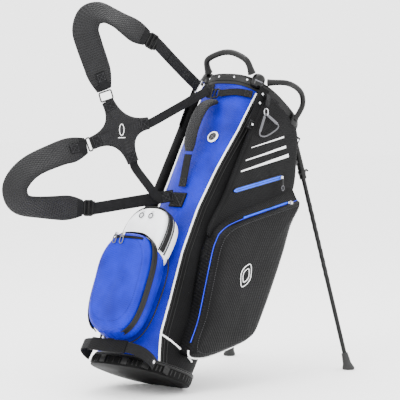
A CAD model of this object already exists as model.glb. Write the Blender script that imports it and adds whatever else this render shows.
"""The looks of the golf stand bag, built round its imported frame.

Positions on the bag are u, v and w in the bag's own leaning frame: u from the spine to the legs,
v across with the near side at -v, w up the tube. The harness has an upright frame s, t, h.
"""
import math

import bmesh
import bpy
from mathutils import Matrix, Vector, noise
from mathutils.bvhtree import BVHTree


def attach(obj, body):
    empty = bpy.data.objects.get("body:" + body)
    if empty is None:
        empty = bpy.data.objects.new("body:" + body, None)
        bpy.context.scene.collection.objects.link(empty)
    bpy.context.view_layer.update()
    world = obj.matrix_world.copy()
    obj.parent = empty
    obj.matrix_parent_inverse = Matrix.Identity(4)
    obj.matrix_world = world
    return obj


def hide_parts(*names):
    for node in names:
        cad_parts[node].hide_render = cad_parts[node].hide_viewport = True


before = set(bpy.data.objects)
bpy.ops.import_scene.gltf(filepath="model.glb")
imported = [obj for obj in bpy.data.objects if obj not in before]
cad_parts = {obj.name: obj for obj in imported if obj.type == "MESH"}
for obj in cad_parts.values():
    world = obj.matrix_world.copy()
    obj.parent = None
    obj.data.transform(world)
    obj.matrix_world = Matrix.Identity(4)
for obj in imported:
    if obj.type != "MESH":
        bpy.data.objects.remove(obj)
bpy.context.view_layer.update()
SCENE = bpy.context.scene

# Camera
AZIMUTH, ELEVATION, DISTANCE = math.radians(-51.0), math.radians(4.5), 6.0
RIGHT = Vector((math.cos(AZIMUTH), math.sin(AZIMUTH), 0.0))
BACK = Vector((
    math.sin(AZIMUTH) * math.cos(ELEVATION), -math.cos(AZIMUTH) * math.cos(ELEVATION), math.sin(ELEVATION),
))
TARGET = RIGHT * 0.089 + Vector((0.0, 0.0, 0.500))
camera_data = bpy.data.cameras.new("camera")
camera_data.sensor_width, camera_data.lens = 36.0, 202.5
camera = bpy.data.objects.new("camera", camera_data)
SCENE.collection.objects.link(camera)
UP = BACK.cross(RIGHT)
camera.matrix_world = Matrix.Translation(TARGET + BACK * DISTANCE) @ Matrix((RIGHT, UP, BACK)).transposed().to_4x4()
SCENE.camera = camera

# The bag's frame and its tube, as in the frame's solids
LEAN = math.radians(34.2)
BASE_SLOPE, RIM_SLOPE = math.radians(12.9), math.radians(4.0)
TUBE_LENGTH = 0.832
BASE_DEPTH, BASE_WIDTH, BASE_SQUARE = 0.112, 0.124, 2.5
TOP_DEPTH, TOP_WIDTH, TOP_SQUARE, TOP_EGG = 0.1315, 0.118, 2.7, 0.07
CUP_PROUD, TREAD = 0.0055, 0.0030
LEAN_TURN = Matrix.Rotation(LEAN, 4, "Y")
HEEL_EDGE = Vector((BASE_DEPTH + CUP_PROUD, 0.0, CUP_PROUD * math.tan(BASE_SLOPE)))
BAG = Matrix.Translation(-(LEAN_TURN @ HEEL_EDGE) - Vector((0.0, 0.0, TREAD))) @ LEAN_TURN
HARNESS = Matrix.Translation(BAG @ Vector((-0.140, 0.0, 0.620))) @ Matrix.Rotation(
    math.pi - math.radians(25.0), 4, "Z",
)


def outline(angle, w, proud=0.0):
    f = min(max(w / TUBE_LENGTH, 0.0), 1.0)
    depth = BASE_DEPTH + (TOP_DEPTH - BASE_DEPTH) * f
    width = BASE_WIDTH + (TOP_WIDTH - BASE_WIDTH) * f
    power = 2 / (BASE_SQUARE + (TOP_SQUARE - BASE_SQUARE) * f)
    c, s = math.cos(angle), math.sin(angle)
    u = math.copysign(abs(c) ** power, c) * (depth + proud)
    v = math.copysign(abs(s) ** power, s) * (width + proud) * (1 + TOP_EGG * f * u / depth)
    return u, v


def base_plane(u, lift=0.0):
    return (u - BASE_DEPTH) * math.tan(BASE_SLOPE) + lift


def rim_plane(u, drop=0.0):
    return TUBE_LENGTH - u * math.tan(RIM_SLOPE) - drop


# Materials


class Look:
    """A material whose nodes are written as sums of sockets."""

    def __init__(self, name, color, roughness, metallic=0.0):
        self.made = bpy.data.materials.new(name)
        self.made.use_nodes = True
        self.nodes, self.links = self.made.node_tree.nodes, self.made.node_tree.links
        self.shader = self.nodes["Principled BSDF"]
        self.color = color
        self.shader.inputs["Base Color"].default_value = (*color, 1.0)
        self.shader.inputs["Roughness"].default_value = roughness
        self.shader.inputs["Metallic"].default_value = metallic

    def node(self, kind, **inputs):
        made = self.nodes.new(kind)
        for name, value in inputs.items():
            self.put(made.inputs[name.replace("_", " ")], value)
        return made

    def put(self, socket, value):
        if isinstance(value, bpy.types.NodeSocket):
            self.links.new(value, socket)
        else:
            socket.default_value = value

    def math(self, operation, a, b=0.0):
        made = self.nodes.new("ShaderNodeMath")
        made.operation = operation
        self.put(made.inputs[0], a)
        self.put(made.inputs[1], b)
        return made.outputs[0]

    def place(self, uv=False):
        """Coordinates: the mesh's own in metres along its length, or the bag's frame."""
        coordinates = self.nodes.new("ShaderNodeTexCoord")
        if uv:
            split = self.node("ShaderNodeSeparateXYZ", Vector=coordinates.outputs["UV"])
            return split.outputs[0], split.outputs[1], coordinates.outputs["UV"]
        turn = self.nodes.new("ShaderNodeMapping")
        turn.vector_type = "POINT"
        turn.inputs["Rotation"].default_value = (0.0, -LEAN, 0.0)
        self.links.new(coordinates.outputs["Object"], turn.inputs["Vector"])
        split = self.node("ShaderNodeSeparateXYZ", Vector=turn.outputs[0])
        return split.outputs[0], split.outputs[1], split.outputs[2], turn.outputs[0]

    def wave(self, value, pitch):
        return self.math("SINE", self.math("MULTIPLY", value, 2 * math.pi / pitch))

    def noise(self, vector, scale, detail=3.0):
        made = self.node("ShaderNodeTexNoise", Scale=scale, Detail=detail)
        if vector is not None:
            self.links.new(vector, made.inputs["Vector"])
        return made.outputs["Fac"]

    def tint(self, factor, low, high):
        """Varies the colour between two brightnesses of itself."""
        ramp = self.nodes.new("ShaderNodeValToRGB")
        ramp.color_ramp.elements[0].position, ramp.color_ramp.elements[1].position = 0.3, 0.7
        for element, k in zip(ramp.color_ramp.elements, (low, high)):
            element.color = (*[min(1.0, c * k) for c in self.color], 1.0)
        self.links.new(factor, ramp.inputs["Fac"])
        self.links.new(ramp.outputs["Color"], self.shader.inputs["Base Color"])

    def rough(self, factor, low, high):
        made = self.nodes.new("ShaderNodeMapRange")
        self.put(made.inputs["Value"], factor)
        made.inputs["To Min"].default_value, made.inputs["To Max"].default_value = low, high
        self.links.new(made.outputs[0], self.shader.inputs["Roughness"])

    def bump(self, height, strength, distance):
        made = self.node("ShaderNodeBump", Strength=strength, Distance=distance, Height=height)
        self.links.new(made.outputs["Normal"], self.shader.inputs["Normal"])

    def specular(self, level):
        self.shader.inputs["Specular IOR Level"].default_value = level

    def sheen(self, weight, roughness=0.4):
        self.shader.inputs["Sheen Weight"].default_value = weight
        self.shader.inputs["Sheen Roughness"].default_value = roughness


def ribbed_nylon(
    name, color, roughness, rib, strength, sheen=0.3, low=0.86, high=1.12, coat=0.0, shine=0.2,
):
    """Woven nylon with ribs round the bag and a fine cross thread."""
    look = Look(name, color, roughness)
    u, v, w, vector = look.place()
    around = look.math("MULTIPLY", look.math("ARCTAN2", v, u), 0.125)
    weave = look.math("MULTIPLY", look.wave(w, rib), look.wave(around, rib * 1.15))
    cloud = look.noise(vector, 14.0)
    fine = look.noise(vector, 420.0, 1.0)
    height = look.math("ADD", look.math("MULTIPLY", weave, 0.5), look.math("MULTIPLY", cloud, 1.6))
    look.bump(look.math("ADD", height, look.math("MULTIPLY", fine, 0.35)), strength, 0.0012)
    look.tint(look.math("ADD", look.math("MULTIPLY", weave, 0.10), cloud), low, high)
    look.rough(fine, roughness - 0.08, roughness + 0.10)
    look.sheen(sheen)
    look.specular(shine)
    look.shader.inputs["Coat Weight"].default_value = coat
    return look.made


def webbing_look(name, color, roughness=0.75):
    """Narrow herringbone webbing, in the strap's own length and width."""
    look = Look(name, color, roughness)
    x, y, vector = look.place(uv=True)
    ribs = look.wave(look.math("ADD", x, look.math("PINGPONG", y, 0.004)), 0.0030)
    rows = look.wave(y, 0.0040)
    height = look.math("ADD", ribs, look.math("MULTIPLY", rows, 0.6))
    look.bump(height, 0.55, 0.0006)
    look.tint(look.math("ADD", look.math("MULTIPLY", height, 0.16), look.noise(vector, 60.0)), 0.7, 1.5)
    look.specular(0.12)
    look.sheen(0.04)
    return look.made


def hex_foam(name, color, pitch=0.0065):
    """Embossed honeycomb mesh over foam."""
    look = Look(name, color, 0.6)
    x, y, vector = look.place(uv=True)
    total = None
    for degrees in (0.0, 60.0, 120.0):
        a = math.radians(degrees)
        along = look.math(
            "ADD", look.math("MULTIPLY", x, math.cos(a)), look.math("MULTIPLY", y, math.sin(a)),
        )
        wave = look.wave(along, pitch)
        total = wave if total is None else look.math("ADD", total, wave)
    look.bump(look.math("ADD", total, look.math("MULTIPLY", look.noise(vector, 300.0), 0.6)), 0.7, 0.0010)
    look.tint(look.math("ADD", look.math("MULTIPLY", total, 0.14), look.noise(vector, 30.0)), 0.75, 1.7)
    look.specular(0.22)
    look.sheen(0.02)
    return look.made


def moulded(name, color, roughness, coat=0.0, grain=600.0, strength=0.12, shine=0.18):
    """Moulded plastic with a spark-eroded grain, scuffed along its edges."""
    look = Look(name, color, roughness)
    *_, vector = look.place()
    grainy = look.noise(vector, grain, 2.0)
    cloud = look.noise(vector, 22.0)
    geometry = look.nodes.new("ShaderNodeNewGeometry")
    edge = look.math("MULTIPLY", look.math("SUBTRACT", geometry.outputs["Pointiness"], 0.5), 1.2)
    look.bump(grainy, strength, 0.0006)
    look.tint(look.math("ADD", look.math("MULTIPLY", cloud, 0.9), edge), 0.8, 1.5)
    look.rough(cloud, roughness - 0.07, roughness + 0.1)
    look.specular(shine)
    look.shader.inputs["Coat Weight"].default_value = coat
    return look.made


def metal(name, color, roughness):
    look = Look(name, color, roughness, 1.0)
    *_, vector = look.place()
    stretch = look.node("ShaderNodeMapping", Vector=vector)
    stretch.inputs["Scale"].default_value = (900.0, 900.0, 60.0)
    brushed = look.noise(stretch.outputs[0], 1.0, 2.0)
    look.bump(brushed, 0.1, 0.0003)
    look.rough(brushed, roughness - 0.08, roughness + 0.14)
    look.tint(look.noise(vector, 80.0), 0.85, 1.1)
    return look.made


def rubbery(name, color):
    look = Look(name, color, 0.75)
    *_, vector = look.place()
    look.bump(look.math("ADD", look.noise(vector, 500.0), look.noise(vector, 60.0)), 0.25, 0.0008)
    look.tint(look.noise(vector, 40.0), 0.7, 1.5)
    return look.made


BLUE = ribbed_nylon(
    "blue_nylon", (0.0002, 0.0045, 0.31), 0.42, 0.0052, 0.60, sheen=0.0, low=0.6, high=1.2, coat=0.0,
    shine=0.12,
)
BLACK = ribbed_nylon(
    "black_nylon", (0.0019, 0.0019, 0.0021), 0.60, 0.0060, 0.65, sheen=0.0, low=0.7, high=1.6, shine=0.08,
)
BLACK_RIB = ribbed_nylon(
    "black_ripstop", (0.0017, 0.0017, 0.0019), 0.5, 0.0085, 0.75, sheen=0.0, low=0.7, high=1.6, shine=0.08,
)
WHITE = ribbed_nylon(
    "white_nylon", (0.80, 0.81, 0.83), 0.34, 0.0048, 0.45, sheen=0.0, low=0.88, high=1.1, coat=0.15,
    shine=0.5,
)
LINING = ribbed_nylon("lining", (0.004, 0.004, 0.0045), 0.8, 0.004, 0.3, sheen=0.0, shine=0.1)
PIPING_WHITE = moulded("white_piping", (0.88, 0.88, 0.88), 0.4)
PRINT_WHITE = moulded("white_print", (0.87, 0.87, 0.87), 0.45, grain=300.0)
PIPING_BLACK = moulded("black_piping", (0.004, 0.004, 0.004), 0.5)
ZIP_BLUE = moulded("blue_zip", (0.002, 0.065, 0.70), 0.4, grain=900.0, strength=0.3)
CORD_BLUE = moulded("blue_piping", (0.001, 0.012, 0.45), 0.4, grain=900.0, strength=0.3)
WEB = webbing_look("black_webbing", (0.004, 0.004, 0.0045))
HEX = hex_foam("honeycomb_pad", (0.0045, 0.0045, 0.005))
THREAD = moulded("grey_thread", (0.030, 0.030, 0.032), 0.6)
SEAM_THREAD = moulded("dark_thread", (0.016, 0.016, 0.017), 0.6)
PLASTIC = moulded("black_plastic", (0.0045, 0.0045, 0.0045), 0.42)
GLOSS = moulded("gloss_plastic", (0.0030, 0.0030, 0.0030), 0.30, coat=0.05, grain=200.0, strength=0.05)
CUP = moulded("cup_plastic", (0.0016, 0.0016, 0.0016), 0.5, shine=0.05)
GREY = moulded("grey_plastic", (0.075, 0.075, 0.082), 0.42)
STEEL = metal("plated_steel", (0.62, 0.62, 0.64), 0.25)
DARK_STEEL = moulded("blackened_steel", (0.0035, 0.0035, 0.0038), 0.3, shine=0.25)
LEG = moulded("painted_leg", (0.0030, 0.0030, 0.0034), 0.35, coat=0.05, grain=900.0, strength=0.05)
WRAP = moulded("leg_wrap", (0.010, 0.010, 0.0105), 0.42)
RUBBER = rubbery("rubber", (0.006, 0.006, 0.006))


# Mesh helpers


def heading(points, i):
    """The way a path runs at one of its points, as a vector between its neighbours."""
    return points[min(i + 1, len(points) - 1)] - points[max(i - 1, 0)]


def bent(value, power):
    """A sine or cosine raised to a power with its sign kept, which squares off a circle."""
    return math.copysign(abs(value) ** power, value)


def smooth_path(points, steps, cyclic=False):
    """A curve through the points, with so many steps between each two."""
    points = [Vector(point) for point in points]
    count = len(points)
    path = []
    for i in range(count if cyclic else count - 1):
        if cyclic:
            a, b, c, d = (points[(i + k) % count] for k in (-1, 0, 1, 2))
        else:
            a, b, c, d = points[max(i - 1, 0)], points[i], points[i + 1], points[min(i + 2, count - 1)]
        for step in range(steps):
            f = step / steps
            path.append(0.5 * (2 * b + (c - a) * f + (2 * a - 5 * b + 4 * c - d) * f ** 2 + (3 * b - a - 3 * c + d) * f ** 3))
    if not cyclic:
        path.append(points[-1])
    return path


def skin(rows, wrap=False, capped=False, looped=False):
    """Quads between rows of points, with coordinates in metres along and across them."""
    bm = bmesh.new()
    layer = bm.loops.layers.uv.new("UVMap")
    verts = [[bm.verts.new(point) for point in row] for row in rows]
    lengths, total = [0.0], 0.0
    pairs = list(zip(range(len(rows)), range(1, len(rows))))
    if looped:
        pairs.append((len(rows) - 1, 0))
    for a, b in pairs:
        total += sum((p - q).length for p, q in zip(rows[a], rows[b])) / len(rows[a])
        lengths.append(total)
    widths = [0.0]
    middle = rows[len(rows) // 2]
    for i in range(len(middle)):
        widths.append(widths[-1] + (middle[(i + 1) % len(middle)] - middle[i]).length)
    count = len(middle)
    for k, (a, b) in enumerate(pairs):
        for i in range(count if wrap else count - 1):
            j = (i + 1) % count
            face = bm.faces.new((verts[a][i], verts[a][j], verts[b][j], verts[b][i]))
            spots = (
                (lengths[k], widths[i]), (lengths[k], widths[i + 1]), (lengths[k + 1], widths[i + 1]),
                (lengths[k + 1], widths[i]),
            )
            for loop, spot in zip(face.loops, spots):
                loop[layer].uv = spot
    if capped:
        bm.faces.new(verts[0][::-1])
        bm.faces.new(verts[-1])
    return bm


def piece(
    name, bm, body, look, matrix=None, levels=0, bevel=0.0, thick=0.0, sharp=40, replaces=(), slot=None,
):
    bmesh.ops.recalc_face_normals(bm, faces=bm.faces)
    mesh = bpy.data.meshes.new(name)
    bm.to_mesh(mesh)
    bm.free()
    if matrix is not None:
        mesh.transform(matrix)
    mesh.materials.append(look)
    mesh.shade_smooth()
    mesh.set_sharp_from_angle(angle=math.radians(sharp))
    made = bpy.data.objects.new(name, mesh)
    SCENE.collection.objects.link(made)
    if thick:
        wall = made.modifiers.new("wall", "SOLIDIFY")
        wall.thickness, wall.offset = abs(thick), math.copysign(1.0, thick)
    if bevel:
        edge = made.modifiers.new("edge", "BEVEL")
        edge.width, edge.segments, edge.limit_method = bevel, 2, "ANGLE"
        edge.angle_limit = math.radians(35)
        edge.harden_normals = True
    if levels:
        smooth = made.modifiers.new("smooth", "SUBSURF")
        smooth.levels = smooth.render_levels = levels
    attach(made, body)
    if replaces:
        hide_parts(*([replaces] if isinstance(replaces, str) else replaces))
    return made


def frames(points, closed=False, up=None):
    """For each point of a path: its direction and two directions across, turning as little as they can."""
    count = len(points)
    ways = []
    for i in range(count):
        if closed:
            ways.append((points[(i + 1) % count] - points[i - 1]).normalized())
        else:
            ways.append(heading(points, i).normalized())
    side = Vector(up) if up is not None else (Vector((0, 0, 1)) if abs(ways[0].z) < 0.9 else Vector((1, 0, 0)))
    found = []
    for way in ways:
        side = (side - way * side.dot(way)).normalized()
        found.append((way, side, way.cross(side)))
    return found


def sweep(points, radius, sides=12, closed=False, flat=1.0, up=None, capped=True):
    """A round or oval bar along a path. radius may be one for each point."""
    points = [Vector(p) for p in points]
    radii = radius if isinstance(radius, (list, tuple)) else [radius] * len(points)
    rows = []
    for point, r, (_, a, b) in zip(points, radii, frames(points, closed, up)):
        rows.append([
            point + a * r * math.cos(2 * math.pi * k / sides) + b * r * flat * math.sin(2 * math.pi * k / sides)
            for k in range(sides)
        ])
    return skin(rows, wrap=True, capped=capped and not closed, looped=closed)


PROFILE = (
    (-1.0, -0.4), (-1.0, 0.4), (-0.93, 1.0), (-0.5, 1.0), (0.0, 1.0), (0.5, 1.0), (0.93, 1.0), (1.0, 0.4),
    (1.0, -0.4), (0.93, -1.0), (0.0, -1.0), (-0.93, -1.0),
)


def band(points, normals, width, thick, widths=None):
    """A strap with soft edges along a path; normals face out of it."""
    points = [Vector(p) for p in points]
    rows = []
    for i, point in enumerate(points):
        way = heading(points, i).normalized()
        normal = normals[i] if isinstance(normals, list) else Vector(normals)
        normal = (normal - way * normal.dot(way)).normalized()
        side = way.cross(normal)
        half = (widths[i] if widths else width) / 2
        rows.append([point + side * a * half + normal * b * thick / 2 for a, b in PROFILE])
    return skin(rows, wrap=True, capped=True)


def block(size, matrix, bevel=0.0, segments=2):
    bm = bmesh.new()
    bmesh.ops.create_cube(bm, size=1.0, matrix=Matrix.Diagonal((*size, 1.0)))
    if bevel:
        bmesh.ops.bevel(bm, geom=bm.edges[:], offset=bevel, segments=segments, affect="EDGES", profile=0.6)
    bm.transform(matrix)
    return bm


def turned(profile, start, way, sides=24):
    """A turned piece: (distance, radius) pairs along a direction."""
    way = Vector(way).normalized()
    a = way.orthogonal().normalized()
    b = way.cross(a)
    rows = [
        [
            Vector(start) + way * d + (a * math.cos(2 * math.pi * k / sides) + b * math.sin(2 * math.pi * k / sides)) * r
            for k in range(sides)
        ]
        for d, r in profile
    ]
    return skin(rows, wrap=True, capped=True)


def merge(*parts):
    """Several meshes as one."""
    whole = bmesh.new()
    for part in parts:
        mesh = bpy.data.meshes.new("part")
        part.to_mesh(mesh)
        part.free()
        whole.from_mesh(mesh)
        bpy.data.meshes.remove(mesh)
    return whole


def rivet(place, way, radius=0.0045):
    """A domed rivet head."""
    way = Vector(way).normalized()
    return turned((
        (-0.001, radius * 0.9), (0.0, radius), (0.0006, radius), (0.0014, radius * 0.8),
        (0.0019, radius * 0.4), (0.0020, radius * 0.05),
    ), place, way, 16)


def stitches(points, normals, pitch=0.006, length=0.0036, radius=0.00055):
    """A row of raised threads along a path."""
    parts = []
    path = [Vector(p) for p in points]
    run, along = 0.0, 0.0
    for i in range(len(path) - 1):
        a, b = path[i], path[i + 1]
        span = (b - a).length
        if span < 1e-6:
            continue
        while along <= run + span:
            f = (along - run) / span
            centre = a.lerp(b, f)
            normal = (normals[i] if isinstance(normals, list) else Vector(normals)).normalized()
            way = (b - a).normalized()
            centre = centre + normal * radius * 0.6
            parts.append(turned((
                (-length / 2, radius * 0.3), (-length / 2.6, radius), (length / 2.6, radius),
                (length / 2, radius * 0.3),
            ), centre, way, 5))
            along += pitch
        run += span
    return merge(*parts)


def copy_of(node):
    """The frame's solid as a mesh to build on."""
    bm = bmesh.new()
    bm.from_mesh(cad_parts[node].data)
    bmesh.ops.remove_doubles(bm, verts=bm.verts, dist=0.00002)
    return bm


def tree(obj):
    graph = bpy.context.evaluated_depsgraph_get()
    return BVHTree.FromObject(obj, graph)


def on_surface(found, points, way, lift=0.0, reach=0.4):
    """Drops points onto a surface along a direction; gives the places and the normals."""
    places, normals = [], []
    way = Vector(way).normalized()
    for point in points:
        start = Vector(point) - way * reach
        spot, normal, _, _ = found.ray_cast(start, way)
        if spot is None:
            continue
        if normal.dot(way) > 0:
            normal = -normal
        places.append(spot + normal * lift)
        normals.append(normal)
    return places, normals


def smoothed(normals, times=3):
    for _ in range(times):
        last = len(normals) - 1
        normals = [
            (normals[max(i - 1, 0)] + normals[i] * 2 + normals[min(i + 1, last)]).normalized()
            for i in range(last + 1)
        ]
    return normals


# The tube: a blue panel down the spine between two piped seams, black panels round the rest

SEAM = (
    (-0.060, 0.113), (-0.044, 0.112), (0.059, 0.092), (0.158, 0.084), (0.301, 0.070), (0.433, 0.066),
    (0.560, 0.073), (0.691, 0.085),
    (0.816, 0.091), (0.850, 0.092),
)


def seam_width(w):
    for (w0, v0), (w1, v1) in zip(SEAM, SEAM[1:]):
        if w <= w1:
            f = (w - w0) / (w1 - w0)
            return v0 + (v1 - v0) * f
    return SEAM[-1][1]


def angle_at(width, w):
    """The angle on the spine side where the tube is this wide."""
    low, high = math.radians(91.0), math.radians(179.0)
    for _ in range(30):
        middle = (low + high) / 2
        if outline(middle, w)[1] > width:
            low = middle
        else:
            high = middle
    return low


def tube_point(angle, f, proud=0.0, soft=1.0):
    """A point of the tube's cloth at a fraction of its height, with the slight waves of fabric over foam."""
    guess = f * TUBE_LENGTH
    u, v = outline(angle, guess, proud)
    w = (1 - f) * base_plane(u, 0.0075) + f * rim_plane(u, 0.0225)
    wave = noise.noise(Vector((u * 9, v * 9, w * 7))) * 0.0016 + noise.noise(Vector((u * 24 + 5, v * 24, w * 18))) * 0.0006
    fade = min(1.0, 8 * f, 8 * (1 - f)) * soft
    u, v = outline(angle, guess, proud + wave * fade)
    return Vector((u, v, w))


STATIONS = 56
front_rows, back_rows, seams = [], [], {-1: [], 1: []}
for i in range(STATIONS + 1):
    f = i / STATIONS
    edge = angle_at(seam_width(base_plane(-0.09) * (1 - f) + f * 0.83), f * TUBE_LENGTH)
    front_rows.append([tube_point(edge + (2 * math.pi - 2 * edge) * k / 34, f) for k in range(35)])
    back_rows.append([tube_point(-edge + 2 * edge * k / 60, f) for k in range(61)])
    seams[1].append(tube_point(edge, f, 0.0008, 0.3))
    seams[-1].append(tube_point(-edge, f, 0.0008, 0.3))
piece("spine_panel", skin(front_rows), "bag", BLUE, BAG, levels=1, thick=-0.0024, replaces="tube_shell")
piece("body_panel", skin(back_rows), "bag", BLACK, BAG, levels=1, thick=-0.0024)
lining_rows = []
for i in range(13):
    f = 0.02 + 0.96 * i / 12
    lining_rows.append([tube_point(2 * math.pi * k / 48, f, -0.0030, 0.0) for k in range(48)])
piece("tube_lining", skin(lining_rows, wrap=True), "bag", LINING, BAG)
for side, name in ((-1, "near"), (1, "far")):
    line = seams[side][1:-1]
    piece("spine_piping_" + name, sweep(line, 0.0028, 10), "bag", PIPING_WHITE, BAG)
    for k, (turn, radius) in enumerate(((0.060, 0.0016), (0.115, 0.0016), (0.205, 0.0012))):
        ridge = []
        for i in range(1, STATIONS):
            f = i / STATIONS
            edge = angle_at(seam_width(base_plane(-0.09) * (1 - f) + f * 0.83), f * TUBE_LENGTH) - turn
            ridge.append(tube_point(side * edge, f, 0.0006, 0.3))
        piece(f"side_rib_{name}_{k}", sweep(ridge, radius, 6), "bag", PIPING_BLACK, BAG)

# the hem where the black cuff starts, from the long seam to the side pocket's lower corner
for side, name in ((-1, "near"), (1, "far")):
    hem = []
    for i in range(19):
        w = 0.062 - 0.016 * i / 18
        start = angle_at(seam_width(w), w)
        angle = start + (math.radians(78.0) - start) * i / 18
        u, v = outline(angle, w, 0.0014)
        hem.append(Vector((u, side * v, w)))
    piece("cuff_piping_" + name, sweep(smooth_path(hem, 3), 0.0024, 8), "bag", PIPING_WHITE, BAG)

# The side pockets and the panels above them

MOUTH = ((0.163, 0.616), (0.145, 0.605), (0.072, 0.539), (-0.016, 0.458), (-0.064, 0.409), (-0.087, 0.372))
FRONT = ((-0.090, 0.347), (-0.087, 0.314), (-0.062, 0.222), (-0.038, 0.134), (-0.031, 0.060))
BOTTOM = ((-0.014, 0.040), (0.034, 0.062), (0.090, 0.108), (0.147, 0.162), (0.171, 0.190))
REAR = ((0.184, 0.224), (0.181, 0.335), (0.172, 0.447), (0.158, 0.550))
GUSSET = Vector((-0.022, 0.024))
EDGE = [Vector(p) for p in MOUTH + FRONT + BOTTOM + REAR]
MIDDLE = sum(EDGE, Vector((0.0, 0.0))) / len(EDGE)


def soft_loop(points, steps=5):
    """A closed smooth outline that passes the corners a little rounded."""
    flat = [Vector((p.x, p.y, 0.0)) for p in points]
    return [Vector((p.x, p.y)) for p in smooth_path(flat, steps, cyclic=True)]


LIFTED = [
    p + GUSSET * min(1.0, max(0.0, 1.2 - i / 5)) if i < len(MOUTH) else p.copy()
    for i, p in enumerate(EDGE)
]
LIFTED[0] = EDGE[0] + Vector((-0.020, 0.030))
BODY = [Vector((min(p.x, 0.160), p.y)) for p in LIFTED]
EDGE_LOOP, LIFTED_LOOP, BODY_LOOP = soft_loop(EDGE), soft_loop(LIFTED), soft_loop(BODY)
PER_CORNER = 5


def scaled(loop, k):
    return [MIDDLE + (p - MIDDLE) * k for p in loop]


def pocket_rows(side):
    rows = []
    layers = (
        (0.100, BODY_LOOP, 1.0), (0.120, BODY_LOOP, 1.0), (0.129, LIFTED_LOOP, 1.0),
        (0.140, scaled(LIFTED_LOOP, 0.5), None),
        (0.1495, EDGE_LOOP, 0.997), (0.1525, EDGE_LOOP, 0.992), (0.160, EDGE_LOOP, 0.985),
        (0.1672, EDGE_LOOP, 0.955),
        (0.1712, EDGE_LOOP, 0.90), (0.1738, EDGE_LOOP, 0.82), (0.1752, EDGE_LOOP, 0.70),
        (0.1760, EDGE_LOOP, 0.55), (0.1766, EDGE_LOOP, 0.38),
        (0.1770, EDGE_LOOP, 0.20), (0.1771, EDGE_LOOP, 0.06),
    )
    for v, loop, k in layers:
        if k is None:
            flat = [a * 0.55 + b * 0.45 for a, b in zip(EDGE_LOOP, LIFTED_LOOP)]
        else:
            flat = scaled(loop, k)
        row = []
        for p in flat:
            swell = noise.noise(Vector((p.x * 11, side * 3, p.y * 8))) * 0.0024 + noise.noise(Vector((p.x * 30, side * 3, p.y * 22))) * 0.0008
            row.append(Vector((p.x, side * (v + (swell if v > 0.15 else 0.0)), p.y)))
        rows.append(row)
    return rows


def panel_rows(side):
    """The slim panel between the pocket's mouth and the collar."""
    low = [(-0.092, 0.350), (-0.094, 0.480), (-0.096, 0.640), (-0.095, 0.785)]
    high = [
        (-0.040, 0.806), (0.030, 0.802), (0.080, 0.786), (0.122, 0.716), (0.152, 0.645), (0.140, 0.560),
        (0.060, 0.460),
    ]
    shape = [Vector(p) for p in low + high]
    middle = sum(shape, Vector((0.0, 0.0))) / len(shape)
    loop = soft_loop(shape, 6)
    rows = []
    for v, k in (
        (0.100, 1.0), (0.1245, 1.0), (0.1295, 0.995), (0.1312, 0.975), (0.1320, 0.93), (0.1322, 0.8),
        (0.1324, 0.6), (0.1325, 0.35), (0.1325, 0.1),
    ):
        rows.append([
            Vector((
                middle.x + (p.x - middle.x) * k,
                side * (v + noise.noise(Vector((p.x * 14, side * 5, p.y * 11))) * 0.0012 * (v > 0.13)),
                middle.y + (p.y - middle.y) * k,
            ))
            for p in loop
        ])
    return rows


pockets = {}
for side, name in ((-1, "near"), (1, "far")):
    pocket = piece("apparel_pocket_" + name, skin(
        pocket_rows(side), wrap=True, capped=True,
    ), "bag", BLACK_RIB, BAG, levels=1, replaces="side_pocket_" + name)
    panel = piece("side_panel_" + name, skin(
        panel_rows(side), wrap=True, capped=True,
    ), "bag", BLACK, BAG, levels=1)
    pockets[side] = (tree(pocket), tree(panel))
    rim = [Vector((p.x, side * 0.1510, p.y)) for p in scaled(EDGE_LOOP, 0.996)]
    stop = (len(MOUTH) + len(FRONT) - 1) * PER_CORNER
    piece("pocket_zip_" + name, sweep(rim[2:stop], 0.0013, 8), "bag", CORD_BLUE, BAG)
    edge = [Vector((p.x, side * 0.1500, p.y)) for p in scaled(EDGE_LOOP, 1.0)]
    turn = stop + 5 * PER_CORNER
    piece("pocket_piping_" + name, sweep(edge[turn:], 0.0021, 8), "bag", PIPING_BLACK, BAG)
    hem = [Vector((p.x, side * 0.1515, p.y)) for p in scaled(EDGE_LOOP, 1.004)]
    piece("pocket_hem_" + name, sweep(hem[stop + 1:turn + 1], 0.0022, 8), "bag", PIPING_WHITE, BAG)
    inner = [Vector((p.x, side * 0.2, p.y)) for p in scaled(EDGE_LOOP, 0.93)]
    places, normals = on_surface(
        pockets[side][0], [BAG @ p for p in inner + inner[:1]], (0, -side, 0), 0.0003,
    )
    piece("pocket_stitching_" + name, stitches(places, normals), "bag", THREAD)

# Stripes and a small plain emblem

for side, name in ((-1, "near"), (1, "far")):
    panel_tree = pockets[side][1]
    for k, (start, end, width) in enumerate((
        ((-0.078, 0.641), (0.030, 0.742), 0.0045), ((-0.079, 0.600), (0.052, 0.724), 0.0070),
        ((-0.081, 0.564), (0.076, 0.711), 0.0095),
    )):
        line = [Vector((
            start[0] + (end[0] - start[0]) * i / 30, side * 0.2, start[1] + (end[1] - start[1]) * i / 30,
        )) for i in range(31)]
        places, normals = on_surface(panel_tree, [BAG @ p for p in line], (0, -side, 0), 0.0004)
        widths = [width * (0.35 + 0.65 * i / 30) for i in range(len(places))]
        piece(f"stripe_{name}_{k}", band(
            places, smoothed(normals), width, 0.0007, widths,
        ), "bag", PRINT_WHITE)


def emblem(side, centre, size, found, name):
    """A plain rounded diamond outline."""
    corners = [(0.0, 1.0), (0.62, 0.0), (0.0, -1.0), (-0.62, 0.0)]
    loop = smooth_path([Vector((
        centre[0] + x * size, side * 0.2, centre[1] + y * size,
    )) for x, y in corners], 10, cyclic=True)
    places, _ = on_surface(found, [BAG @ p for p in loop], (0, -side, 0), 0.0003)
    piece(name, sweep(places, 0.0011, 6, closed=True), "bag", PRINT_WHITE)


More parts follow.
